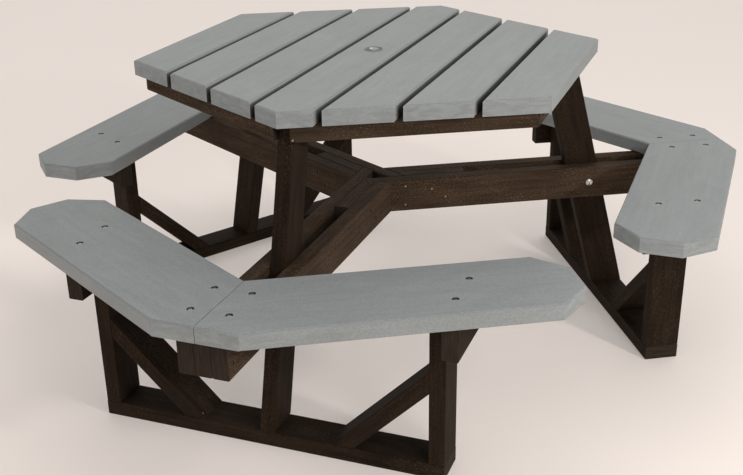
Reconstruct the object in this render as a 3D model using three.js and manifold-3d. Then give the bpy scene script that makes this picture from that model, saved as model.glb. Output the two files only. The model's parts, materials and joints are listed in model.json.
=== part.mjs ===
// Hexagonal picnic table in recycled-plastic lumber: a plank top on three leaning legs, three radial
// arms that interlock round an open hub, and three mitred benches, each on its own base frame.
// Millimetres, +Z up. The origin is on the floor, under the middle of the table's bounding box.
import * as THREE from "three";
import { mergeVertices } from "three/addons/utils/BufferGeometryUtils.js";
import Module from "manifold-3d";

const wasm = await Module();
wasm.setup();

// ---- Driving dimensions -------------------------------------------------------------------------

const INCH = 25.4;
const FIT = 0.3; // clearance left between two pieces that touch

// Lumber: every board is 2-by stock, so one thickness serves them all.
const THICK = 1.5 * INCH;
const FRAME_WIDTH = 3.5 * INCH;
const TOP_BOARD_WIDTH = 5.5 * INCH;
const SEAT_BOARD_WIDTH = 9.4 * INCH;

// Tabletop: boards run along Y, and their ends follow a hexagon with points on the Y axis.
const TABLE_HEIGHT = 30 * INCH;
const TOP_BOARDS = 7;
const TOP_BOARD_GAP = 0.62 * INCH;
const TOP_POINT_REACH = 23.6 * INCH; // centre to the two points on the Y axis
const TOP_SHOULDER_REACH = 11.7 * INCH; // half the length of the two sides along Y
const RAIL_APOTHEM = 20 * INCH; // centre to the rails' outer faces

// Umbrella hole and its lift-out plug.
const UMBRELLA_HOLE_DIAMETER = 1.8 * INCH;
const PLUG_STEM_DIAMETER = UMBRELLA_HOLE_DIAMETER - 1;
const PLUG_STEM_LENGTH = 30;
const PLUG_FLANGE_DIAMETER = 50;
const PLUG_FLANGE_HEIGHT = 1.6;
const PLUG_CROWN_DIAMETER = 46;

// Benches: two boards to a bench, mitred over the arm.
const SEAT_HEIGHT = 17.75 * INCH;
const SEAT_APOTHEM = 26.95 * INCH; // centre to a seat board's inner edge
const SEAT_TIP_REACH = 39.75 * INCH; // centre to the flat that clips the mitre's tip
const SEAT_END = 11.75 * INCH; // foot of the apothem to the board's square end
const SEAT_CORNER_CUT = 2.75 * INCH;
const SIDE_TURN = Math.PI / 6; // each side of a hexagon faces 30 degrees off its corner

// Arms: a long and a short side board with spacers between them.
const ARM_REACH = 38.8 * INCH;
const INNER_SPACER_REACH = 9.8 * INCH;
const OUTER_SPACER_START = 32 * INCH;

// Legs: one board each, leaning inboard from the sill to the underside of the top.
const LEG_LEAN = THREE.MathUtils.degToRad(15);

// Base frames: sill, two posts, two braces and two cleats.
const FRAME_REACH = 28.8 * INCH; // centre to the frame's outer face
const FRAME_HALF_LENGTH = 16.8 * INCH;
const BRACE_FOOT = 8.45 * INCH; // middle of the sill to the brace's lower edge
const BRACE_ANGLE = Math.PI / 4;
const CLEAT_LENGTH = 7 * INCH;
const CLEAT_REACH = 30.35 * INCH;

// Dome-headed coach bolt that pins each leg. It ends blind inside the short board of the arm.
const BOLT_DIAMETER = 9.5;
const BOLT_HOLE_DIAMETER = 10.5;
const BOLT_HEAD_DIAMETER = 20;
const BOLT_HEAD_HEIGHT = 4.5;
const BOLT_SHOULDER = { radius: 0.3 * BOLT_HEAD_DIAMETER, height: 0.8 * BOLT_HEAD_HEIGHT };
const BOLT_COVER = 12; // board left uncut beyond the bolt's hole
const BOLT_TIP_CLEARANCE = 2;

// Screws sit in recesses. Each place is (outward, sideways) on a seat or (outward, up) on an arm.
const SEAT_SCREW = { diameter: 16, depth: 5 };
const FRAME_SCREW = { diameter: 7.5, depth: 4.5 };
const SEAT_SCREWS = [
  [33.1 * INCH, 1.7 * INCH],
  [37.1 * INCH, 1.7 * INCH],
  [24.8 * INCH, 17.5 * INCH],
  [28.8 * INCH, 17.5 * INCH],
];
const LONG_BOARD_SCREWS = [
  [2.9 * INCH, 15.5 * INCH],
  [2.9 * INCH, 13.4 * INCH],
  [5.8 * INCH, 15 * INCH],
  [7.3 * INCH, 14 * INCH],
];
const SHORT_BOARD_SCREWS = [
  [6 * INCH, 13.9 * INCH],
  [7.4 * INCH, 15.2 * INCH],
  [38 * INCH, 14 * INCH],
];
const RAIL_CORNER_SCREW = 1.6 * INCH; // along the rail from its free corner
const RAIL_LEG_SCREW = 0.25 * INCH; // along the rail from the leg
const RAIL_LEG_SCREW_HEIGHT = 0.2 * INCH; // above the rail's underside
const BRACE_SCREW_INSET = 0.5 * INCH; // in from the frame's outer face, and up the brace from its toe

const ROUND_SEGMENTS = 32;
const BOLT_SEGMENTS = 20;
const SCREW_SEGMENTS = 16;

// ---- Levels and places worked out from them -----------------------------------------------------

const TOP_UNDERSIDE = TABLE_HEIGHT - THICK;
const RAIL_UNDERSIDE = TOP_UNDERSIDE - THICK;
const SEAT_UNDERSIDE = SEAT_HEIGHT - THICK;
const ARM_UNDERSIDE = SEAT_UNDERSIDE - FRAME_WIDTH;
const ARM_MIDDLE = SEAT_UNDERSIDE - FRAME_WIDTH / 2;
const SPACER_HALF = THICK / 2; // half the middle layer of an arm
const ARM_HALF = SPACER_HALF + THICK; // half the arm's three layers
const LEG_FOOTPRINT = FRAME_WIDTH / Math.cos(LEG_LEAN);
const legOuterEdge = (height) => FRAME_REACH - (height - THICK) * Math.tan(LEG_LEAN);
const BOLT_REACH = legOuterEdge(ARM_MIDDLE) - LEG_FOOTPRINT / 2;

// ---- Materials ----------------------------------------------------------------------------------

const plastic = (color) => new THREE.MeshStandardMaterial({ color, roughness: 0.7, metalness: 0 });
const materials = {
  greyBoard: () => plastic(0x969b9c),
  brownBoard: () => plastic(0x33261f),
  steel: () => new THREE.MeshStandardMaterial({ color: 0xb9bbba, roughness: 0.35, metalness: 1 }),
};

// ---- Outlines -----------------------------------------------------------------------------------

const point = (x, y) => new THREE.Vector2(x, y);
const heading = (angle) => point(Math.cos(angle), Math.sin(angle));

// Turns a list of points so that they run counter-clockwise.
function counterClockwise(points) {
  return THREE.ShapeUtils.area(points) > 0 ? points : [...points].reverse();
}

// Where the line through a along u meets the line through b along v.
function crossing(a, u, b, v) {
  const along = b.clone().sub(a).cross(v) / u.cross(v);
  return a.clone().addScaledVector(u, along);
}

// Moves every side of a convex outline inwards by the same distance.
function inset(points, distance) {
  const count = points.length;
  const sides = points.map((start, i) => {
    const along = points[(i + 1) % count].clone().sub(start).normalize();
    const inward = point(-along.y, along.x);
    return { start: start.clone().addScaledVector(inward, distance), along };
  });
  return sides.map((side, i) => {
    const before = sides[(i + count - 1) % count];
    return crossing(before.start, before.along, side.start, side.along);
  });
}

const mirrored = (points) => points.map((p) => point(p.x, -p.y));

const rectangle = (x0, x1, y0, y1) => [point(x0, y0), point(x1, y0), point(x1, y1), point(x0, y1)];

// ---- Solids -------------------------------------------------------------------------------------

// A board: a convex outline between two depths, with half the clearance taken off every face.
function boardGeometry(outline, near, far, holes = []) {
  const shape = new THREE.Shape(inset(counterClockwise(outline), FIT / 2));
  for (const { centre, diameter } of holes) {
    shape.holes.push(new THREE.Path().absarc(centre.x, centre.y, diameter / 2, 0, 2 * Math.PI));
  }
  const geometry = new THREE.ExtrudeGeometry(shape, {
    depth: far - near - FIT,
    bevelEnabled: false,
    curveSegments: ROUND_SEGMENTS / 2,
  });
  return geometry.translate(0, 0, near + FIT / 2);
}

// The outline is a plan, and the board lies between two heights.
const lying = boardGeometry;

// The outline is (outward, up), and the board is centred on the arm's own plane.
function onEdge(outline, thickness, holes) {
  return boardGeometry(outline, -thickness / 2, thickness / 2, holes).rotateX(Math.PI / 2);
}

// The outline is (sideways, up), and the board lies between two distances from the hub.
function facing(outline, inner, outer) {
  return boardGeometry(outline, inner, outer).rotateX(Math.PI / 2).rotateZ(Math.PI / 2);
}

function asSolid(geometry) {
  const bare = geometry.clone();
  bare.deleteAttribute("normal");
  bare.deleteAttribute("uv");
  const merged = mergeVertices(bare);
  const { array } = merged.getAttribute("position");
  return new wasm.Manifold(
    new wasm.Mesh({ numProp: 3, vertProperties: array, triVerts: new Uint32Array(merged.index.array) }),
  );
}

function subtract(geometry, cutters) {
  const remaining = cutters.reduce((body, cutter) => body.subtract(asSolid(cutter)), asSolid(geometry));
  const cut = remaining.getMesh();
  const result = new THREE.BufferGeometry();
  result.setAttribute("position", new THREE.BufferAttribute(cut.vertProperties, 3));
  result.setIndex(new THREE.BufferAttribute(cut.triVerts, 1));
  result.computeVertexNormals();
  return result;
}

// A round cutter that sinks a screw's recess into a face, from a point on that face.
function recess(facePoint, faceNormal, { diameter, depth }) {
  const cutter = new THREE.CylinderGeometry(diameter / 2, diameter / 2, 2 * depth, SCREW_SEGMENTS);
  const turn = new THREE.Quaternion().setFromUnitVectors(new THREE.Vector3(0, 1, 0), faceNormal);
  return cutter.applyQuaternion(turn).translate(facePoint.x, facePoint.y, facePoint.z);
}

// A rod along Y through the bolt's place in an arm, from beyond the long board to the blind end.
function boltDrill() {
  const start = -ARM_HALF - BOLT_HEAD_HEIGHT;
  const end = ARM_HALF - BOLT_COVER;
  const radius = BOLT_HOLE_DIAMETER / 2;
  const drill = new THREE.CylinderGeometry(radius, radius, end - start, BOLT_SEGMENTS);
  return drill.translate(BOLT_REACH, (start + end) / 2, ARM_MIDDLE);
}

function piece(name, geometry, material) {
  const mesh = new THREE.Mesh(geometry, material);
  mesh.name = name;
  return mesh;
}

// ---- Tabletop -----------------------------------------------------------------------------------

const TOP_HALF_WIDTH = (TOP_BOARDS * TOP_BOARD_WIDTH + (TOP_BOARDS - 1) * TOP_BOARD_GAP) / 2;

// Half the hexagon's length along Y at a distance x from its middle.
function topHalfLength(x) {
  const slope = (TOP_POINT_REACH - TOP_SHOULDER_REACH) / TOP_HALF_WIDTH;
  return TOP_POINT_REACH - slope * Math.abs(x);
}

function topBoardOutline(left, right) {
  const stations = left < 0 && right > 0 ? [left, 0, right] : [left, right];
  const front = stations.map((x) => point(x, -topHalfLength(x)));
  const back = stations.map((x) => point(x, topHalfLength(x))).reverse();
  return [...front, ...back];
}

function tabletop() {
  const group = new THREE.Group();
  const middle = (TOP_BOARDS + 1) / 2;
  const umbrellaHole = { centre: point(0, 0), diameter: UMBRELLA_HOLE_DIAMETER };
  for (let number = 1; number <= TOP_BOARDS; number++) {
    const left = -TOP_HALF_WIDTH + (number - 1) * (TOP_BOARD_WIDTH + TOP_BOARD_GAP);
    const outline = topBoardOutline(left, left + TOP_BOARD_WIDTH);
    const holes = number === middle ? [umbrellaHole] : [];
    const geometry = lying(outline, TOP_UNDERSIDE, TABLE_HEIGHT, holes);
    group.add(piece(`top_board_${number}`, geometry, materials.greyBoard()));
  }
  return group;
}

// Flanged plug whose stem drops into the umbrella hole.
function umbrellaPlug() {
  const stem = PLUG_STEM_DIAMETER / 2;
  const flange = PLUG_FLANGE_DIAMETER / 2;
  const profile = [
    point(0, -PLUG_STEM_LENGTH),
    point(stem, -PLUG_STEM_LENGTH),
    point(stem, 0),
    point(flange, 0),
    point(flange, PLUG_FLANGE_HEIGHT / 2),
    point(PLUG_CROWN_DIAMETER / 2, PLUG_FLANGE_HEIGHT),
    point(0, PLUG_FLANGE_HEIGHT),
  ];
  const geometry = new THREE.LatheGeometry(profile, ROUND_SEGMENTS).rotateX(Math.PI / 2);
  const plug = piece("umbrella_plug", geometry, materials.greyBoard());
  plug.position.z = TABLE_HEIGHT + FIT;
  return plug;
}

// ---- One third of the frame, drawn with its arm along +X ----------------------------------------

// The rails under the top make a ring: each runs from a leg to a mitre on the ring's free corner.
function railOutline() {
  const normal = heading(SIDE_TURN);
  const along = heading(SIDE_TURN + Math.PI / 2);
  const freeCorner = heading(2 * SIDE_TURN);
  const legFace = { start: point(0, SPACER_HALF), along: point(1, 0) };
  const edges = [RAIL_APOTHEM, RAIL_APOTHEM - FRAME_WIDTH].map((apothem) => {
    const foot = normal.clone().multiplyScalar(apothem);
    return [
      crossing(foot, along, legFace.start, legFace.along),
      crossing(foot, along, point(0, 0), freeCorner),
    ];
  });
  const [[outerLeg, outerCorner], [innerLeg, innerCorner]] = edges;
  return [outerLeg, outerCorner, innerCorner, innerLeg];
}

// Recesses in a rail's outer face: one by the leg on the rail drawn, or one by the free corner.
function railRecess(byLeg, hand) {
  const [outerLeg, outerCorner] = railOutline();
  const along = outerCorner.clone().sub(outerLeg).normalize();
  const place = byLeg
    ? outerLeg.clone().addScaledVector(along, RAIL_LEG_SCREW)
    : outerCorner.clone().addScaledVector(along, -RAIL_CORNER_SCREW);
  const normal = heading(SIDE_TURN);
  const height = RAIL_UNDERSIDE + (byLeg ? RAIL_LEG_SCREW_HEIGHT : THICK / 2);
  return recess(
    new THREE.Vector3(place.x, hand * place.y, height),
    new THREE.Vector3(normal.x, hand * normal.y, 0),
    FRAME_SCREW,
  );
}

function seatOutline() {
  const normal = heading(SIDE_TURN);
  const along = heading(SIDE_TURN + Math.PI / 2);
  const outer = SEAT_APOTHEM + SEAT_BOARD_WIDTH;
  const place = (apothem, sideways) =>
    normal.clone().multiplyScalar(apothem).addScaledVector(along, sideways);
  const tip = { start: point(SEAT_TIP_REACH, 0), along: point(0, 1) };
  return [
    crossing(place(SEAT_APOTHEM, 0), along, point(0, 0), point(1, 0)),
    tip.start,
    crossing(place(outer, 0), along, tip.start, tip.along),
    place(outer, SEAT_END - SEAT_CORNER_CUT),
    place(outer - SEAT_CORNER_CUT, SEAT_END),
    place(SEAT_APOTHEM + SEAT_CORNER_CUT, SEAT_END),
    place(SEAT_APOTHEM, SEAT_END - SEAT_CORNER_CUT),
  ];
}

// An arm board between two offsets from the arm's middle plane, out to a reach and cut at the hub
// along another arm's face: the plane at the given distance from the hub's axis whose normal points
// at the given angle.
function armOutline(nearSide, farSide, reach, cut) {
  const normal = heading(cut.angle);
  const foot = normal.clone().multiplyScalar(cut.distance);
  const along = point(-normal.y, normal.x);
  const inner = [nearSide, farSide].map((y) => crossing(foot, along, point(0, y), point(1, 0)));
  return [inner[0], point(reach, nearSide), point(reach, farSide), inner[1]];
}

// Recesses in an arm board's outer face, which faces along -Y on the long board and +Y on the short.
function armRecesses(places, hand) {
  const normal = new THREE.Vector3(0, hand, 0);
  return places.map(([outward, up]) =>
    recess(new THREE.Vector3(outward, hand * ARM_HALF, up), normal, FRAME_SCREW),
  );
}

function seatRecesses(hand) {
  const normal = new THREE.Vector3(0, 0, 1);
  return SEAT_SCREWS.map(([outward, sideways]) =>
    recess(new THREE.Vector3(outward, hand * sideways, SEAT_HEIGHT), normal, SEAT_SCREW),
  );
}

function arm(side) {
  // The long board runs past the hub and butts the next arm's long board; the short board and the
  // inner spacer stop against the far face of the long board that crosses in front of them.
  const longCut = { angle: Math.PI - SIDE_TURN, distance: SPACER_HALF };
  const shortCut = { angle: SIDE_TURN, distance: ARM_HALF };
  const layers = {
    long_board: {
      outline: armOutline(-ARM_HALF, -SPACER_HALF, ARM_REACH, longCut),
      cutters: [boltDrill(), ...armRecesses(LONG_BOARD_SCREWS, -1)],
    },
    short_board: {
      outline: armOutline(SPACER_HALF, ARM_HALF, ARM_REACH, shortCut),
      cutters: [boltDrill(), ...armRecesses(SHORT_BOARD_SCREWS, 1)],
    },
    inner_spacer: {
      outline: armOutline(-SPACER_HALF, SPACER_HALF, INNER_SPACER_REACH, shortCut),
      cutters: [],
    },
    outer_spacer: {
      outline: rectangle(OUTER_SPACER_START, ARM_REACH, -SPACER_HALF, SPACER_HALF),
      cutters: [],
    },
  };
  return Object.entries(layers).map(([layer, { outline, cutters }]) => {
    const geometry = subtract(lying(outline, ARM_UNDERSIDE, SEAT_UNDERSIDE), cutters);
    return piece(`${side}_arm_${layer}`, geometry, materials.brownBoard());
  });
}

function leg(side) {
  const edge = (height) => [
    point(legOuterEdge(height) - LEG_FOOTPRINT, height),
    point(legOuterEdge(height), height),
  ];
  const [footInner, footOuter] = edge(THICK);
  const [headInner, headOuter] = edge(TOP_UNDERSIDE);
  const outline = [footInner, footOuter, headOuter, headInner];
  const boltHole = { centre: point(BOLT_REACH, ARM_MIDDLE), diameter: BOLT_HOLE_DIAMETER };
  return piece(`${side}_leg`, onEdge(outline, THICK, [boltHole]), materials.brownBoard());
}

// Domed head on the long board's face, and a plain shank that stops short of its hole's blind end.
function legBolt(side) {
  const shank = BOLT_DIAMETER / 2;
  const reach = 2 * ARM_HALF - BOLT_COVER - BOLT_TIP_CLEARANCE;
  const profile = [
    point(0, -BOLT_HEAD_HEIGHT),
    point(BOLT_SHOULDER.radius, -BOLT_SHOULDER.height),
    point(BOLT_HEAD_DIAMETER / 2, 0),
    point(shank, 0),
    point(shank, reach),
    point(0, reach),
  ];
  const geometry = new THREE.LatheGeometry(profile, BOLT_SEGMENTS);
  const bolt = piece(`${side}_leg_bolt`, geometry, materials.steel());
  bolt.position.set(BOLT_REACH, -ARM_HALF, ARM_MIDDLE);
  return bolt;
}

// Recess for the screw that holds a brace's toe to the sill, in the brace's upper face.
function braceRecess(hand) {
  const toe = BRACE_FOOT - THICK / Math.sin(BRACE_ANGLE);
  const up = heading(BRACE_ANGLE).multiplyScalar(BRACE_SCREW_INSET);
  const place = new THREE.Vector3(FRAME_REACH - BRACE_SCREW_INSET, hand * (toe + up.x), THICK + up.y);
  const normal = new THREE.Vector3(0, -hand * Math.sin(BRACE_ANGLE), Math.cos(BRACE_ANGLE));
  return recess(place, normal, FRAME_SCREW);
}

function baseFrame(side) {
  const inner = FRAME_REACH - FRAME_WIDTH;
  const postInner = FRAME_HALF_LENGTH - THICK;
  const rise = (postInner - BRACE_FOOT) * Math.tan(BRACE_ANGLE);
  const sillPlan = rectangle(inner, FRAME_REACH, -FRAME_HALF_LENGTH, FRAME_HALF_LENGTH);
  const post = rectangle(postInner, FRAME_HALF_LENGTH, THICK, SEAT_UNDERSIDE);
  const brace = [
    point(BRACE_FOOT - THICK / Math.sin(BRACE_ANGLE), THICK),
    point(BRACE_FOOT, THICK),
    point(postInner, THICK + rise),
    point(postInner, THICK + rise + THICK / Math.cos(BRACE_ANGLE)),
  ];
  const cleat = rectangle(
    CLEAT_REACH - CLEAT_LENGTH,
    CLEAT_REACH,
    FRAME_HALF_LENGTH,
    FRAME_HALF_LENGTH + THICK,
  );
  const flipped = (points) => points.map((p) => point(-p.x, p.y));
  const braceCcw = subtract(facing(brace, inner, FRAME_REACH), [braceRecess(1)]);
  const braceCw = subtract(facing(flipped(brace), inner, FRAME_REACH), [braceRecess(-1)]);
  const brown = materials.brownBoard;
  return [
    piece(`${side}_sill`, lying(sillPlan, 0, THICK), brown()),
    piece(`${side}_post_ccw`, facing(post, inner, FRAME_REACH), brown()),
    piece(`${side}_post_cw`, facing(flipped(post), inner, FRAME_REACH), brown()),
    piece(`${side}_brace_ccw`, braceCcw, brown()),
    piece(`${side}_brace_cw`, braceCw, brown()),
    piece(`${side}_cleat_ccw`, lying(cleat, ARM_UNDERSIDE, SEAT_UNDERSIDE), brown()),
    piece(`${side}_cleat_cw`, lying(mirrored(cleat), ARM_UNDERSIDE, SEAT_UNDERSIDE), brown()),
  ];
}

// A rail and a bench board come as a pair, one on each hand of the arm: +1 is counter-clockwise of it.
function handedBoards(side, hand) {
  const handed = hand > 0 ? (outline) => outline : mirrored;
  const suffix = hand > 0 ? "ccw" : "cw";
  const rail = lying(handed(railOutline()), RAIL_UNDERSIDE, TOP_UNDERSIDE);
  const seat = lying(handed(seatOutline()), SEAT_UNDERSIDE, SEAT_HEIGHT);
  const railCut = subtract(rail, [railRecess(hand > 0, hand)]);
  const seatCut = subtract(seat, seatRecesses(hand));
  return [
    piece(`${side}_rail_${suffix}`, railCut, materials.brownBoard()),
    piece(`${side}_seat_${suffix}`, seatCut, materials.greyBoard()),
  ];
}

function third(side, azimuth) {
  const group = new THREE.Group();
  group.add(
    leg(side),
    legBolt(side),
    ...arm(side),
    ...baseFrame(side),
    ...handedBoards(side, 1),
    ...handedBoards(side, -1),
  );
  group.rotation.z = azimuth;
  return group;
}

// ---- The table ----------------------------------------------------------------------------------

const AZIMUTHS = {
  front: -Math.PI / 2,
  right: Math.PI / 6,
  left: (5 * Math.PI) / 6,
};

const table = new THREE.Group();
table.add(tabletop(), umbrellaPlug());
for (const [side, azimuth] of Object.entries(AZIMUTHS)) {
  table.add(third(side, azimuth));
}

// Everything above is drawn round the hub's axis. The benches reach further to the front than to
// the back of it, so the group is slid along Y to bring its bounding box over the origin, and down
// by the clearance that the sills' undersides don't need.
const bounds = new THREE.Box3().setFromObject(table, true);
table.position.set(0, -bounds.getCenter(new THREE.Vector3()).y, -bounds.min.z);

export default table;
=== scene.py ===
"""The looks of a hexagonal picnic table in recycled-plastic lumber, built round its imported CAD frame.

Every board is rebuilt from its CAD solid with the round-overs that moulded and routed plastic has.
The screws, the leg bolts and the umbrella plug are modelled in full, and each has its own material.
"""

import json
import math

import bmesh
import bpy
import numpy as np
from mathutils import Matrix, Vector


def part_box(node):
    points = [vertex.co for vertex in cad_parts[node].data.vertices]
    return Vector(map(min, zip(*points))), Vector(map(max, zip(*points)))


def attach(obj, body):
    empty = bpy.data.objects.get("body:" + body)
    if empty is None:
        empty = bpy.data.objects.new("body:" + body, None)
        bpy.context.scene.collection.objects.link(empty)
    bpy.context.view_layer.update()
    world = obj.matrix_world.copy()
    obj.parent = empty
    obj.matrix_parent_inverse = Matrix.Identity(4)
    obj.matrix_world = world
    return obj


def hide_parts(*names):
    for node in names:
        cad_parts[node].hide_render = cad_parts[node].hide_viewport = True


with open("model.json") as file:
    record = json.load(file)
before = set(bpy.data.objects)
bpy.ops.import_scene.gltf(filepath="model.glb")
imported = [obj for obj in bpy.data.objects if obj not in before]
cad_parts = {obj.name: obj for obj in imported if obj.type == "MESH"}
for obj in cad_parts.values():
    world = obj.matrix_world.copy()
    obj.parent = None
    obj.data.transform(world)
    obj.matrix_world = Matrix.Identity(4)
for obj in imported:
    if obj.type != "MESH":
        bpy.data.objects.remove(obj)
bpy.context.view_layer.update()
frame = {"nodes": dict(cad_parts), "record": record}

MM = 0.001
SIDES = ("front", "right", "left")
PARTS = {part["node"]: part for part in frame["record"]["subparts"]}
HUB = sum(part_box("umbrella_plug"), Vector()) / 2  # the middle of the tabletop

# Radii of a board's edges: moulded along the grain, mitred where two boards meet, or sawn across it.
EDGE_RADII = {
    "grey_board": {"moulded": 4 * MM, "mitred": 2.2 * MM, "sawn": 0.8 * MM},
    "brown_board": {"moulded": 3.5 * MM, "mitred": 1.5 * MM, "sawn": 1.5 * MM},
}
WIDEST_RADIUS = max(max(radii.values()) for radii in EDGE_RADII.values())
BEVEL_SEGMENTS = 5
SMOOTH_ANGLE = math.radians(35)

# The grey boards' top edges are routed where hands and legs reach: a quarter round below a small step.
ROUTER_RADIUS = 3.5 * MM
ROUTER_STEP = 1 * MM
ROUTER_SEGMENTS = 7
ROUTER_OVERRUN = 20 * MM

# Fasteners
SEAT_HEAD_DIAMETER = 11 * MM
FRAME_HEAD_DIAMETER = 7 * MM
DEEPEST_RECESS = 8 * MM  # a hole in a board that is deeper than this isn't a screw's
BOLT_HEAD_DIAMETER = 20 * MM
BOLT_HEAD_HEIGHT = 4.5 * MM
BOLT_DIAMETER = 9.5 * MM
THREAD_PITCH = 3.6 * MM
THREAD_DEPTH = 1.1 * MM
THREAD_LENGTH = 40 * MM

# Umbrella plug. Its finger groove is deep at two sides and shallow between them.
PLUG_FLANGE_HEIGHT = 1.6 * MM  # above the board
PLUG_WALL = 2 * MM
PLUG_CLEARANCE = 2.8 * MM  # from the flange's rim in to the stem
PLUG_ISLAND_RADIUS = 12 * MM  # the raised middle inside the groove
GROOVE_DEEP = 6 * MM
GROOVE_SHALLOW = 1.8 * MM
GROOVE_HEADING = math.radians(20)  # of the line through its two deep sides
STUD_RADIUS = 4.2 * MM
STUD_HEIGHT = 2 * MM
STUD_OFFSET = 6.5 * MM  # from the plug's axis


# ---- Meshes from rings ----------------------------------------------------------------------------


def ring(radius, height, segments=48):
    """One turn of points about Z. Radius and height are numbers, or functions of the angle."""
    angles = [2 * math.pi * i / segments for i in range(segments)]
    at = lambda value, angle: value(angle) if callable(value) else value
    return [
        Vector((at(radius, a) * math.cos(a), at(radius, a) * math.sin(a), at(height, a)))
        for a in angles
    ]


def skin(name, rings, closed=False):
    """A closed mesh through rings of equal length. A stack that isn't closed on itself is capped."""
    bm = bmesh.new()
    loops = [[bm.verts.new(point) for point in points] for points in rings]
    count = len(loops[0])
    pairs = list(zip(loops, loops[1:]))
    if closed:
        pairs.append((loops[-1], loops[0]))
    else:
        bm.faces.new(loops[0])
        bm.faces.new(loops[-1])
    for low, high in pairs:
        for i in range(count):
            j = (i + 1) % count
            bm.faces.new((low[i], low[j], high[j], high[i]))
    bmesh.ops.recalc_face_normals(bm, faces=bm.faces)
    mesh = bpy.data.meshes.new(name)
    bm.to_mesh(mesh)
    bm.free()
    smooth(mesh)
    return mesh


def smooth(mesh):
    mesh.shade_smooth()
    mesh.set_sharp_from_angle(angle=SMOOTH_ANGLE)


def place(name, mesh, matrix=Matrix.Identity(4)):
    obj = bpy.data.objects.new(name, mesh)
    obj.matrix_world = matrix
    bpy.context.scene.collection.objects.link(obj)
    return obj


def finished(obj, material, body="table"):
    """Gives a piece its material and the CAD body that it rides on."""
    if not obj.data.materials:
        obj.data.materials.append(material)
    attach(obj, body)
    return obj


def axes(x_axis, z_axis, origin):
    """The matrix of a right-handed frame from two of its axes and its origin."""
    x_axis = x_axis.normalized()
    z_axis = z_axis.normalized()
    y_axis = z_axis.cross(x_axis)
    columns = Matrix((x_axis, y_axis, z_axis)).transposed().to_4x4()
    return Matrix.Translation(origin) @ columns


def facing(normal, origin, spin=0.0):
    """A frame whose Z axis lies along a normal, turned about it by spin."""
    turn = normal.to_track_quat("Z", "Y").to_matrix().to_4x4()
    return Matrix.Translation(origin) @ turn @ Matrix.Rotation(spin, 4, "Z")


# ---- Boards ---------------------------------------------------------------------------------------


def cad_surface(node):
    """A node's CAD surface with its split vertices joined."""
    bm = bmesh.new()
    bm.from_mesh(frame["nodes"][node].data)
    bmesh.ops.remove_doubles(bm, verts=bm.verts, dist=0.01 * MM)
    return bm


def hull_of(surface):
    """The uncut board: the convex hull of a CAD surface, with one face to each flat side."""
    bm = bmesh.new()
    for vertex in surface.verts:
        bm.verts.new(vertex.co)
    made = bmesh.ops.convex_hull(bm, input=bm.verts)
    spare = set(made["geom_interior"] + made["geom_unused"])
    bmesh.ops.delete(bm, geom=[v for v in spare if isinstance(v, bmesh.types.BMVert)], context="VERTS")
    bmesh.ops.dissolve_limit(bm, angle_limit=math.radians(0.5), verts=bm.verts, edges=bm.edges)
    bmesh.ops.recalc_face_normals(bm, faces=bm.faces)
    return bm


def board_frame(hull):
    """A board's own axes: X along the grain, Z out of its broad face, origin at its middle."""
    longest = max(hull.edges, key=lambda edge: edge.calc_length())
    broad = max(hull.faces, key=lambda face: (round(face.calc_area(), 6), face.normal.z))
    start, end = (vertex.co for vertex in longest.verts)
    grain = end - start
    middle = sum((v.co for v in hull.verts), Vector()) / len(hull.verts)
    return axes(grain, broad.normal, middle)


def drillings(surface, hull):
    """The recesses and holes in a CAD board, as dicts of rim centre, outward normal, radius and depth."""
    planes = [(face.normal.copy(), face.normal.dot(face.verts[0].co)) for face in hull.faces]
    on_plane = lambda co, plane: abs(plane[0].dot(co) - plane[1]) < 0.05 * MM
    inside = [
        face
        for face in surface.faces
        if not any(all(on_plane(v.co, plane) for v in face.verts) for plane in planes)
    ]
    found = []
    waiting = dict.fromkeys(inside)  # a dict keeps its order, so every run adds up the same way
    while waiting:
        patch = [waiting.popitem()[0]]
        for face in patch:
            for edge in face.edges:
                for neighbour in edge.link_faces:
                    if neighbour in waiting:
                        del waiting[neighbour]
                        patch.append(neighbour)
        points = {v.index: v.co for face in patch for v in face.verts}.values()
        rims = [(plane, [p for p in points if on_plane(p, plane)]) for plane in planes]
        plane, rim = max(rims, key=lambda item: (len(item[1]), item[0][0].z))
        centre = sum(rim, Vector()) / len(rim)
        found.append(
            {
                "centre": centre,
                "normal": plane[0],
                "radius": max((p - centre).length for p in rim),
                "depth": max(plane[1] - plane[0].dot(p) for p in points),
            }
        )
    return sorted(found, key=lambda item: tuple(round(c, 4) for c in item["centre"]))


def edge_kind(edge, to_board, slot):
    """How a board's edge was made: mitred at a joint, routed round a grey top, else moulded or sawn."""
    if any(abs(face.normal.dot(face.verts[0].co - HUB)) < 1 * MM for face in edge.link_faces):
        return "mitred"
    on_top = max(face.normal.z for face in edge.link_faces) > 0.99
    if slot == "grey_board" and on_top:
        return "routed"
    start, end = (to_board @ vertex.co for vertex in edge.verts)
    return "moulded" if abs((end - start).normalized().x) > 0.999 else "sawn"


def router(edge):
    """The tool that routs one top edge of a board."""
    start, end = (vertex.co for vertex in edge.verts)
    along = (end - start).normalized() * ROUTER_OVERRUN
    top, outward = sorted((face.normal for face in edge.link_faces), key=lambda normal: -normal.z)
    clear = 2 * MM
    floor = -ROUTER_STEP - ROUTER_RADIUS
    turns = [math.pi / 2 * i / ROUTER_SEGMENTS for i in range(ROUTER_SEGMENTS + 1)]
    profile = [(-clear, floor), (-clear, clear), (ROUTER_RADIUS, clear)]
    profile += [(ROUTER_RADIUS * (1 - math.sin(t)), floor + ROUTER_RADIUS * math.cos(t)) for t in turns]
    rings = [
        [station - outward * inward + top * rise for inward, rise in profile]
        for station in (start - along, end + along)
    ]
    return place("router", skin("router", rings))


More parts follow.
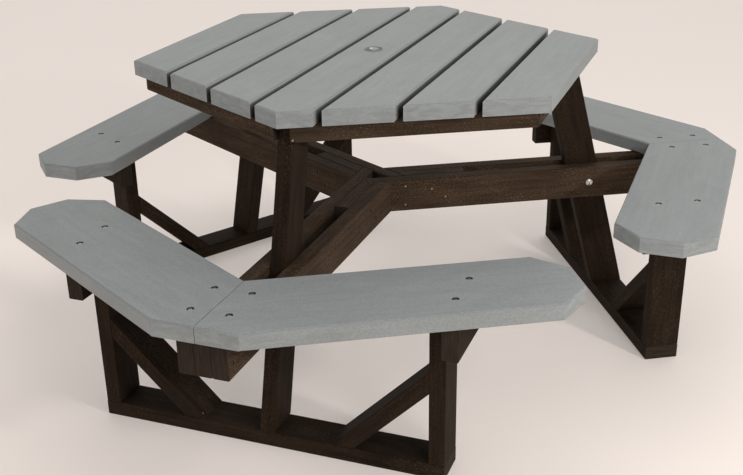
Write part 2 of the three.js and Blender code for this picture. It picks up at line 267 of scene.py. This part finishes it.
def cutter(drilling, thickness):
    """The tool that cuts one recess or hole, with a small chamfer at the rim."""
    radius = drilling["radius"]
    through = drilling["depth"] > thickness - 1 * MM
    depth = drilling["depth"] + (1 * MM if through else 0)
    lip = 0.5 * MM
    rings = [
        ring(radius, -depth),
        ring(radius, -lip),
        ring(radius + 2 * lip, lip),
        ring(radius + 2 * lip, 2 * lip),
    ]
    return place("cutter", skin("cutter", rings), facing(drilling["normal"], drilling["centre"]))


def applied(obj):
    """Replaces an object's mesh by the mesh that its modifiers make."""
    graph = bpy.context.evaluated_depsgraph_get()
    mesh = bpy.data.meshes.new_from_object(obj.evaluated_get(graph))
    obj.modifiers.clear()
    obj.data = mesh
    smooth(mesh)


def board(node, slot, material):
    """Builds the finished board of a CAD node and returns its drillings."""
    surface = cad_surface(node)
    hull = hull_of(surface)
    cuts = drillings(surface, hull)
    matrix = board_frame(hull)
    to_board = matrix.inverted()
    weights = hull.edges.layers.float.new("bevel_weight_edge")
    tools = []
    for edge in hull.edges:
        kind = edge_kind(edge, to_board, slot)
        if kind == "routed":
            tools.append(router(edge))
        else:
            edge[weights] = EDGE_RADII[slot][kind] / WIDEST_RADIUS
    heights = [(to_board @ v.co).z for v in hull.verts]
    thickness = max(heights) - min(heights)
    hull.transform(to_board)
    mesh = bpy.data.meshes.new(node)
    hull.to_mesh(mesh)
    surface.free()
    hull.free()

    obj = place(node + ".board", mesh, matrix)
    bevel = obj.modifiers.new("round_over", "BEVEL")
    bevel.limit_method = "WEIGHT"
    bevel.width = WIDEST_RADIUS
    bevel.segments = BEVEL_SEGMENTS
    tools += [cutter(cut, thickness) for cut in cuts]
    for tool in tools:
        cut = obj.modifiers.new("cut", "BOOLEAN")
        cut.operation = "DIFFERENCE"
        cut.solver = "EXACT"
        cut.object = tool
    applied(obj)
    for tool in tools:
        bpy.data.objects.remove(tool)
    obj.modifiers.new("flat_faces", "WEIGHTED_NORMAL").keep_sharp = True
    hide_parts(node)
    finished(obj, material)
    return [cut for cut in cuts if cut["depth"] < DEEPEST_RECESS]


# ---- Fasteners ------------------------------------------------------------------------------------


def screw_head(name, diameter):
    """A low pan head with a six-lobed drive socket."""
    radius = diameter / 2
    height = 0.3 * diameter
    lobe = lambda share: lambda angle: radius * share * (1 + 0.16 * math.cos(6 * angle))
    rings = [
        ring(radius * 0.96, 0),
        ring(radius, height * 0.12),
        ring(radius, height * 0.45),
        ring(radius * 0.93, height * 0.75),
        ring(radius * 0.75, height * 0.95),
        ring(radius * 0.5, height),
        ring(lobe(0.34), height),
        ring(lobe(0.31), height * 0.94),
        ring(lobe(0.29), height * 0.35),
    ]
    return skin(name, rings)


def dome_rings(rim, height, steps=8):
    """The rings of a spherical cap over Z = 0, from near its crown to its rim."""
    sphere = (rim**2 + height**2) / (2 * height)
    reaches = [rim * step / steps for step in range(1, steps + 1)]
    return [ring(reach, math.sqrt(sphere**2 - reach**2) - sphere + height) for reach in reaches]


def dome(name, rim, height):
    """A domed stud that stands on Z = 0."""
    return skin(name, dome_rings(rim, height) + [ring(rim, -0.5 * height)])


def leg_bolt_mesh(length):
    """A coach bolt along +Z: its dome under Z = 0, and a coarse thread that runs out at its point."""
    rim = BOLT_HEAD_DIAMETER / 2
    lip = 0.6 * MM  # height of the dome's straight edge
    crown = dome_rings(rim, BOLT_HEAD_HEIGHT - lip)
    rings = [[Vector((p.x, p.y, -lip - p.z)) for p in points] for points in crown]
    shank = BOLT_DIAMETER / 2
    start = length - THREAD_LENGTH
    rings += [ring(rim, 0), ring(shank, 0), ring(shank, start)]
    levels = round(8 * THREAD_LENGTH / THREAD_PITCH)
    for level in range(1, levels + 1):
        height = start + THREAD_LENGTH * level / levels
        taper = min(1.0, (length - height) / (2 * shank) + 0.1)

        def groove(angle, height=height, taper=taper):
            turn = (height / THREAD_PITCH - angle / (2 * math.pi)) % 1
            return taper * (shank - THREAD_DEPTH * abs(2 * turn - 1))

        rings.append(ring(groove, height))
    return skin("leg_bolt", rings)


def bolt_line(node):
    """A CAD bolt's head-end and tail-end points on its axis, and its direction from head to tail."""
    surface = cad_surface(node)
    points = np.array([vertex.co for vertex in surface.verts])
    surface.free()
    middle = points.mean(axis=0)
    direction = np.linalg.svd(points - middle)[2][0]
    along = (points - middle) @ direction
    away = np.linalg.norm(points - middle - np.outer(along, direction), axis=1)
    if along[away.argmax()] > 0:
        direction = -direction
        along = -along
    head = Vector(middle + direction * along.min())
    tail = Vector(middle + direction * along.max())
    return head, tail, Vector(direction)


def leg_bolts(steel):
    for side in SIDES:
        node = f"{side}_leg_bolt"
        head, tail, direction = bolt_line(node)
        seat = head + direction * BOLT_HEAD_HEIGHT
        bolt = place(node + ".bolt", leg_bolt_mesh((tail - seat).length), facing(direction, seat))
        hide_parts(node)
        finished(bolt, steel)


def board_screws(drilled, finishes):
    """Sets a screw head on the floor of every recess."""
    golden_turn = math.pi * (3 - math.sqrt(5))
    heads = {
        "grey_board": screw_head("seat_screw_head", SEAT_HEAD_DIAMETER),
        "brown_board": screw_head("frame_screw_head", FRAME_HEAD_DIAMETER),
    }
    for node, recesses in drilled.items():
        slot = PARTS[node]["material_slot"]
        for number, recess in enumerate(recesses, 1):
            floor = recess["centre"] - recess["normal"] * recess["depth"]
            matrix = facing(recess["normal"], floor, golden_turn * number)
            finished(place(f"{node}_screw_{number}", heads[slot], matrix), finishes[slot])


# ---- Umbrella plug --------------------------------------------------------------------------------


def umbrella_plug(plastic, steel):
    """A flanged cap with a finger groove round a raised middle, and the stud set into its top."""
    low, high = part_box("umbrella_plug")
    flange = (high.x - low.x) / 2
    top = PLUG_FLANGE_HEIGHT
    foot = top - (high.z - low.z)
    stem = flange - PLUG_CLEARANCE
    wall = PLUG_WALL
    island = PLUG_ISLAND_RADIUS

    def groove_floor(angle):
        share = math.cos(angle - GROOVE_HEADING) ** 2
        return top - GROOVE_SHALLOW - (GROOVE_DEEP - GROOVE_SHALLOW) * share

    rings = [
        ring(stem - wall, foot + 2 * wall),
        ring(stem - wall, foot),
        ring(stem - 0.2 * wall, foot),
        ring(stem, foot + 0.4 * wall),
        ring(stem, 0),
        ring(flange - 0.4 * MM, 0),
        ring(flange, 0.3 * MM),
        ring(flange - 0.5 * MM, 0.8 * MM),
        ring(flange - 1.4 * MM, 1.3 * MM),
        ring(flange - 2 * MM, 1.2 * MM),
        ring(flange - 3 * MM, 0),
        ring(stem - wall, groove_floor),
        ring(island + 2 * MM, groove_floor),
        ring(island + 1 * MM, top - 1.8 * MM),
        ring(island, top - 1 * MM),
        ring(island - 1.5 * MM, top - 0.8 * MM),
        ring(2 * MM, top - 0.6 * MM),
    ]
    place_at = Matrix.Translation((HUB.x, HUB.y, high.z - top))
    plug = place("umbrella_plug.cap", skin("umbrella_plug", rings), place_at)
    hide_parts("umbrella_plug")
    finished(plug, plastic, "plug")
    stud_at = place_at @ Matrix.Translation((-STUD_OFFSET, 0, top - 1 * MM))
    stud = place("umbrella_plug_stud", dome("plug_stud", STUD_RADIUS, STUD_HEIGHT), stud_at)
    finished(stud, steel, "plug")


# ---- Materials ------------------------------------------------------------------------------------


class Nodes:
    """Writes a node tree as nested calls."""

    def __init__(self, tree):
        self.tree = tree

    def node(self, kind, inputs=None, **settings):
        made = self.tree.nodes.new("ShaderNode" + kind)
        for name, value in settings.items():
            setattr(made, name, value)
        self.feed(made, inputs or {})
        return made

    def feed(self, node, inputs):
        for name, value in inputs.items():
            if isinstance(value, bpy.types.NodeSocket):
                self.tree.links.new(value, node.inputs[name])
            else:
                node.inputs[name].default_value = value

    def math(self, operation, *values):
        made = self.node("Math", operation=operation)
        self.feed(made, dict(enumerate(values)))
        return made.outputs[0]

    def spread(self, value, low, high, to_low=0.0, to_high=1.0):
        """Maps a value's range to another, clamped at both ends."""
        inputs = {"Value": value, "From Min": low, "From Max": high, "To Min": to_low, "To Max": to_high}
        return self.node("MapRange", inputs).outputs[0]

    def mix(self, share, first, second):
        inputs = {0: share, 6: first, 7: second}
        return self.node("Mix", inputs, data_type="RGBA").outputs[2]

    def aligned(self, first, second):
        """The dot product of two directions."""
        return self.node("VectorMath", {0: first, 1: second}, operation="DOT_PRODUCT").outputs["Value"]


class Shader(Nodes):
    """A material and the patterns that its colour and relief are made of."""

    def __init__(self, name):
        self.material = bpy.data.materials.new(name)
        self.material.use_nodes = True
        super().__init__(self.material.node_tree)
        self.surface = self.tree.nodes["Principled BSDF"]

    def board_coordinates(self):
        """Coordinates with X along the grain, shifted from board to board so that no two match."""
        place_in_board = self.node("TexCoord").outputs["Object"]
        number = self.node("ObjectInfo").outputs["Random"]
        shift = self.node("CombineXYZ", {0: self.math("MULTIPLY", number, 40.0), 1: number, 2: number})
        return self.node("VectorMath", {0: place_in_board, 1: shift.outputs[0]}).outputs[0]

    def noise(self, coordinates, scale, detail=3.0, roughness=0.5, distortion=0.0):
        """Noise with its own scale along each axis."""
        scaled = self.node("Mapping", {"Vector": coordinates, "Scale": scale}).outputs[0]
        inputs = {
            "Vector": scaled,
            "Scale": 1.0,
            "Detail": detail,
            "Roughness": roughness,
            "Distortion": distortion,
        }
        return self.node("TexNoise", inputs).outputs[0]

    def end_grain(self):
        """1 on a board's sawn ends and 0 on its other faces."""
        normal = self.node("NewGeometry").outputs["Normal"]
        local = self.node(
            "VectorTransform", {0: normal}, vector_type="NORMAL", convert_from="WORLD", convert_to="OBJECT"
        )
        along = self.node("SeparateXYZ", {0: local.outputs[0]}).outputs[0]
        return self.spread(self.math("ABSOLUTE", along), 0.3, 0.45)

    def arris(self, radius):
        """Rises towards 1 at convex edges, over about the given radius."""
        normal = self.node("NewGeometry").outputs["Normal"]
        rounded = self.node("Bevel", {"Radius": radius}, samples=6).outputs[0]
        return self.spread(self.aligned(normal, rounded), 0.99, 0.8)

    def painted_crevice_shade(self, distance):
        """A mask for painted shade, which falls from 1 in the open to 0 deep in a gap, a recess or a joint
        of about the given width.
        """
        open_share = self.node("AmbientOcclusion", {"Distance": distance}, samples=8).outputs["AO"]
        return self.spread(open_share, 0.25, 0.72)

    def bump(self, height, distance, strength=1.0):
        return self.node("Bump", {"Height": height, "Distance": distance, "Strength": strength}).outputs[0]

    def set(self, **inputs):
        names = {"color": "Base Color", "specular": "Specular IOR Level", "sheen": "Specular Tint"}
        self.feed(self.surface, {names.get(key, key.title()): value for key, value in inputs.items()})
        return self.material


def grey_plastic():
    """Foamed polyethylene lumber in grey: a fine mottle, and faint streaks along the grain."""
    shader = Shader("grey_board")
    where = shader.board_coordinates()
    streaks = shader.noise(where, (6, 75, 75), detail=4, roughness=0.6, distortion=0.3)
    mottle = shader.noise(where, (210, 330, 330), detail=3, roughness=0.65)
    patches = shader.noise(where, (6, 14, 14), detail=3, distortion=0.8)
    swirls = shader.noise(where, (25, 16, 60), detail=3, roughness=0.5, distortion=1.2)
    tone = shader.math("MULTIPLY_ADD", streaks, 0.2, shader.math("MULTIPLY", mottle, 0.6))
    tone = shader.math("MULTIPLY_ADD", patches, 0.2, tone)
    end = shader.end_grain()
    sawn_tone = shader.math("MULTIPLY_ADD", mottle, 0.4, shader.math("MULTIPLY", swirls, 0.6))
    tone = shader.node("Mix", {0: end, 2: tone, 3: sawn_tone}).outputs[0]
    colour = shader.mix(shader.spread(tone, 0.36, 0.64), (0.24, 0.259, 0.263, 1), (0.328, 0.352, 0.358, 1))
    # Pale rounded edges: partly wear, partly a painted highlight where the light catches the round-overs.
    pale_edge = shader.math("MULTIPLY", shader.arris(3 * MM), shader.spread(mottle, 0.4, 0.6, 0.35, 0.8))
    colour = shader.mix(pale_edge, colour, (0.48, 0.505, 0.505, 1))
    # Painted shade: the colour turns near black in the gaps between boards, in recesses and in joints.
    colour = shader.mix(shader.painted_crevice_shade(30 * MM), (0.03, 0.024, 0.02, 1), colour)
    relief = shader.math("MULTIPLY_ADD", streaks, 0.4, mottle)
    return shader.set(
        color=colour,
        roughness=shader.spread(mottle, 0.3, 0.7, 0.5, 0.62),
        specular=0.32,
        normal=shader.bump(relief, 0.4 * MM),
    )


def brown_plastic(name, tone):
    """The same lumber in dark brown: speckled with paler grains, and scuffed pale at its arrises."""
    shader = Shader(name)
    toned = lambda red, green, blue: (red * tone, green * tone, blue * tone, 1)
    where = shader.board_coordinates()
    speckle = shader.noise(where, (210, 320, 320), detail=4, roughness=0.7)
    streaks = shader.noise(where, (6, 90, 90), detail=4, roughness=0.6)
    patches = shader.noise(where, (9, 16, 16), detail=3)
    saw_marks = shader.noise(where, (40, 25, 300), detail=2)
    spots = shader.math("MULTIPLY", shader.spread(speckle, 0.5, 0.7), shader.spread(patches, 0.3, 0.65))
    base = shader.mix(
        shader.spread(streaks, 0.35, 0.65), toned(0.0135, 0.0091, 0.0059), toned(0.0255, 0.0168, 0.0108)
    )
    colour = shader.mix(spots, base, toned(0.08, 0.05, 0.031))
    end = shader.end_grain()
    sawn = shader.mix(shader.spread(saw_marks, 0.3, 0.7), (0.026, 0.019, 0.014, 1), (0.042, 0.032, 0.024, 1))
    colour = shader.mix(end, colour, sawn)
    scuffs = shader.math("MULTIPLY", shader.arris(2 * MM), shader.spread(speckle, 0.42, 0.62, 0.05, 0.5))
    pale_edge = shader.math("MULTIPLY", scuffs, shader.math("SUBTRACT", 1.0, end))
    colour = shader.mix(pale_edge, colour, (0.11, 0.078, 0.055, 1))
    relief = shader.node("Mix", {0: end, 2: speckle, 3: saw_marks}).outputs[0]
    return shader.set(
        color=colour,
        roughness=shader.spread(speckle, 0.3, 0.7, 0.66, 0.8),
        specular=0.07,
        sheen=(1.0, 0.86, 0.74, 1),
        normal=shader.bump(relief, 0.5 * MM),
    )


def plug_plastic():
    """Plain moulded plastic with a faint grain."""
    shader = Shader("plug_plastic")
    where = shader.node("TexCoord").outputs["Object"]
    grain = shader.noise(where, (900, 900, 900), detail=2)
    colour = shader.mix(grain, (0.21, 0.226, 0.227, 1), (0.27, 0.29, 0.291, 1))
    return shader.set(color=colour, roughness=0.45, specular=0.35, normal=shader.bump(grain, 0.08 * MM))


def satin_metal(name, dark, bright, smoothest, roughest):
    """A metal whose tone and roughness wander between two values with fine wear."""
    shader = Shader(name)
    where = shader.node("TexCoord").outputs["Object"]
    wear = shader.noise(where, (700, 700, 2500), detail=3)
    return shader.set(
        color=shader.mix(wear, dark, bright),
        metallic=1.0,
        roughness=shader.spread(wear, 0.3, 0.7, smoothest, roughest),
        normal=shader.bump(wear, 0.04 * MM),
    )


# ---- Stage ----------------------------------------------------------------------------------------


# The studio's light comes from wide soft lobes round four directions, and the floor glows a little,
# as a translucent table lit from below does.
STUDIO_COLOUR = (1.0, 0.975, 0.945)
LOBES = [
    ((0.0, 1.0, 0.35), 1.47),
    ((-0.6, -1.0, 0.35), 0.74),
    ((-1.0, 0.1, 0.35), 0.28),
    ((1.0, -0.2, 0.35), 0.26),
]
FLOOR_GLOW = 0.18


def pale_floor():
    shader = Shader("pale_floor")
    where = shader.node("TexCoord").outputs["Object"]
    clouds = shader.noise(where, (0.8, 0.8, 0.8), detail=3)
    colour = shader.mix(clouds, (0.9, 0.8, 0.745, 1), (0.94, 0.84, 0.785, 1))
    shader.feed(
        shader.surface, {"Emission Color": (*STUDIO_COLOUR, 1), "Emission Strength": FLOOR_GLOW}
    )
    return shader.set(color=colour, roughness=0.7, specular=0.15)


def floor():
    radius = 40.0
    thickness = 0.02
    rings = [ring(radius, -thickness, 96), ring(radius, 0, 96)]
    disc = place("floor", skin("floor", rings))
    disc.data.materials.append(pale_floor())


def studio():
    world = bpy.data.worlds.new("studio")
    bpy.context.scene.world = world
    world.use_nodes = True
    nodes = Nodes(world.node_tree)
    direction = nodes.node("TexCoord").outputs["Generated"]
    glow = 0.0
    for axis, strength in LOBES:
        share = nodes.math("MAXIMUM", nodes.aligned(direction, Vector(axis).normalized()), 0.0)
        glow = nodes.math("MULTIPLY_ADD", nodes.math("POWER", share, 2.0), strength, glow)
    nodes.feed(world.node_tree.nodes["Background"], {"Color": (*STUDIO_COLOUR, 1), "Strength": glow})


def soft_light(name, azimuth, elevation, distance, size, power):
    """A square soft box aimed at the middle of the table, placed by its direction in degrees."""
    data = bpy.data.lights.new(name, "AREA")
    data.shape = "SQUARE"
    data.size = size
    data.energy = power
    data.color = STUDIO_COLOUR
    light = bpy.data.objects.new(name, data)
    bpy.context.scene.collection.objects.link(light)
    heading, rise = math.radians(azimuth), math.radians(elevation)
    level = math.cos(rise)
    offset = distance * Vector((math.cos(heading) * level, math.sin(heading) * level, math.sin(rise)))
    light.location = Vector((HUB.x, HUB.y, 0.5)) + offset
    light.rotation_euler = (-offset).to_track_quat("-Z", "Y").to_euler()


# The camera stands to the front, a little right of the front bench, and looks down at the table.
CAMERA_FROM_HUB = Vector((0.990, -2.629, 1.433))  # from the hub's axis at floor level
CAMERA_HEADING = math.radians(109.593)
CAMERA_PITCH = math.radians(-23.902)
CAMERA_ROLL = math.radians(-0.419)
LENS = 52.712
LENS_SHIFT = (-0.03101, 0.01648)


def camera():
    level = math.cos(CAMERA_PITCH)
    ahead = Vector(
        (math.cos(CAMERA_HEADING) * level, math.sin(CAMERA_HEADING) * level, math.sin(CAMERA_PITCH))
    )
    right = Vector((math.sin(CAMERA_HEADING), -math.cos(CAMERA_HEADING), 0))
    data = bpy.data.cameras.new("camera")
    data.sensor_width = 36
    data.lens = LENS
    data.shift_x, data.shift_y = LENS_SHIFT
    data.clip_start = 0.05
    data.clip_end = 200
    obj = bpy.data.objects.new("camera", data)
    bpy.context.scene.collection.objects.link(obj)
    spot = Vector((HUB.x, HUB.y, 0)) + CAMERA_FROM_HUB
    obj.matrix_world = axes(right, -ahead, spot) @ Matrix.Rotation(CAMERA_ROLL, 4, "Z")
    bpy.context.scene.camera = obj


# ---- The table ------------------------------------------------------------------------------------

boards = {"grey_board": grey_plastic(), "brown_board": brown_plastic("brown_board", 1.0)}
paler_brown = brown_plastic("brown_board_paler", 2.35)  # the photo shows the arms and rails paler
steel = satin_metal("stainless", (0.5, 0.49, 0.47, 1), (0.68, 0.67, 0.65, 1), 0.22, 0.42)
dull_screw = satin_metal("dull_screw", (0.3, 0.235, 0.15, 1), (0.6, 0.49, 0.33, 1), 0.35, 0.55)

drilled = {}
for node, part in PARTS.items():
    slot = part["material_slot"]
    if slot in boards:
        paler = "_arm_" in node or "_rail_" in node
        drilled[node] = board(node, slot, paler_brown if paler else boards[slot])
# The seat screws' metal is darker than the stainless: painted shade of the deep recesses they sit in.
seat_screw = satin_metal("seat_screw", (0.2, 0.2, 0.195, 1), (0.46, 0.455, 0.44, 1), 0.2, 0.34)
board_screws(drilled, {"grey_board": seat_screw, "brown_board": dull_screw})
leg_bolts(steel)
polished = satin_metal("polished_stud", (0.8, 0.79, 0.77, 1), (0.9, 0.89, 0.87, 1), 0.3, 0.4)
umbrella_plug(plug_plastic(), polished)

floor()
studio()
soft_light("key", azimuth=-25, elevation=21, distance=4.0, size=0.25, power=38)
soft_light("fill", azimuth=-45, elevation=28, distance=4.0, size=0.8, power=24)
soft_light("top", azimuth=0, elevation=89, distance=2.6, size=1.6, power=6)
camera()
bpy.context.scene.view_settings.view_transform = "Standard"
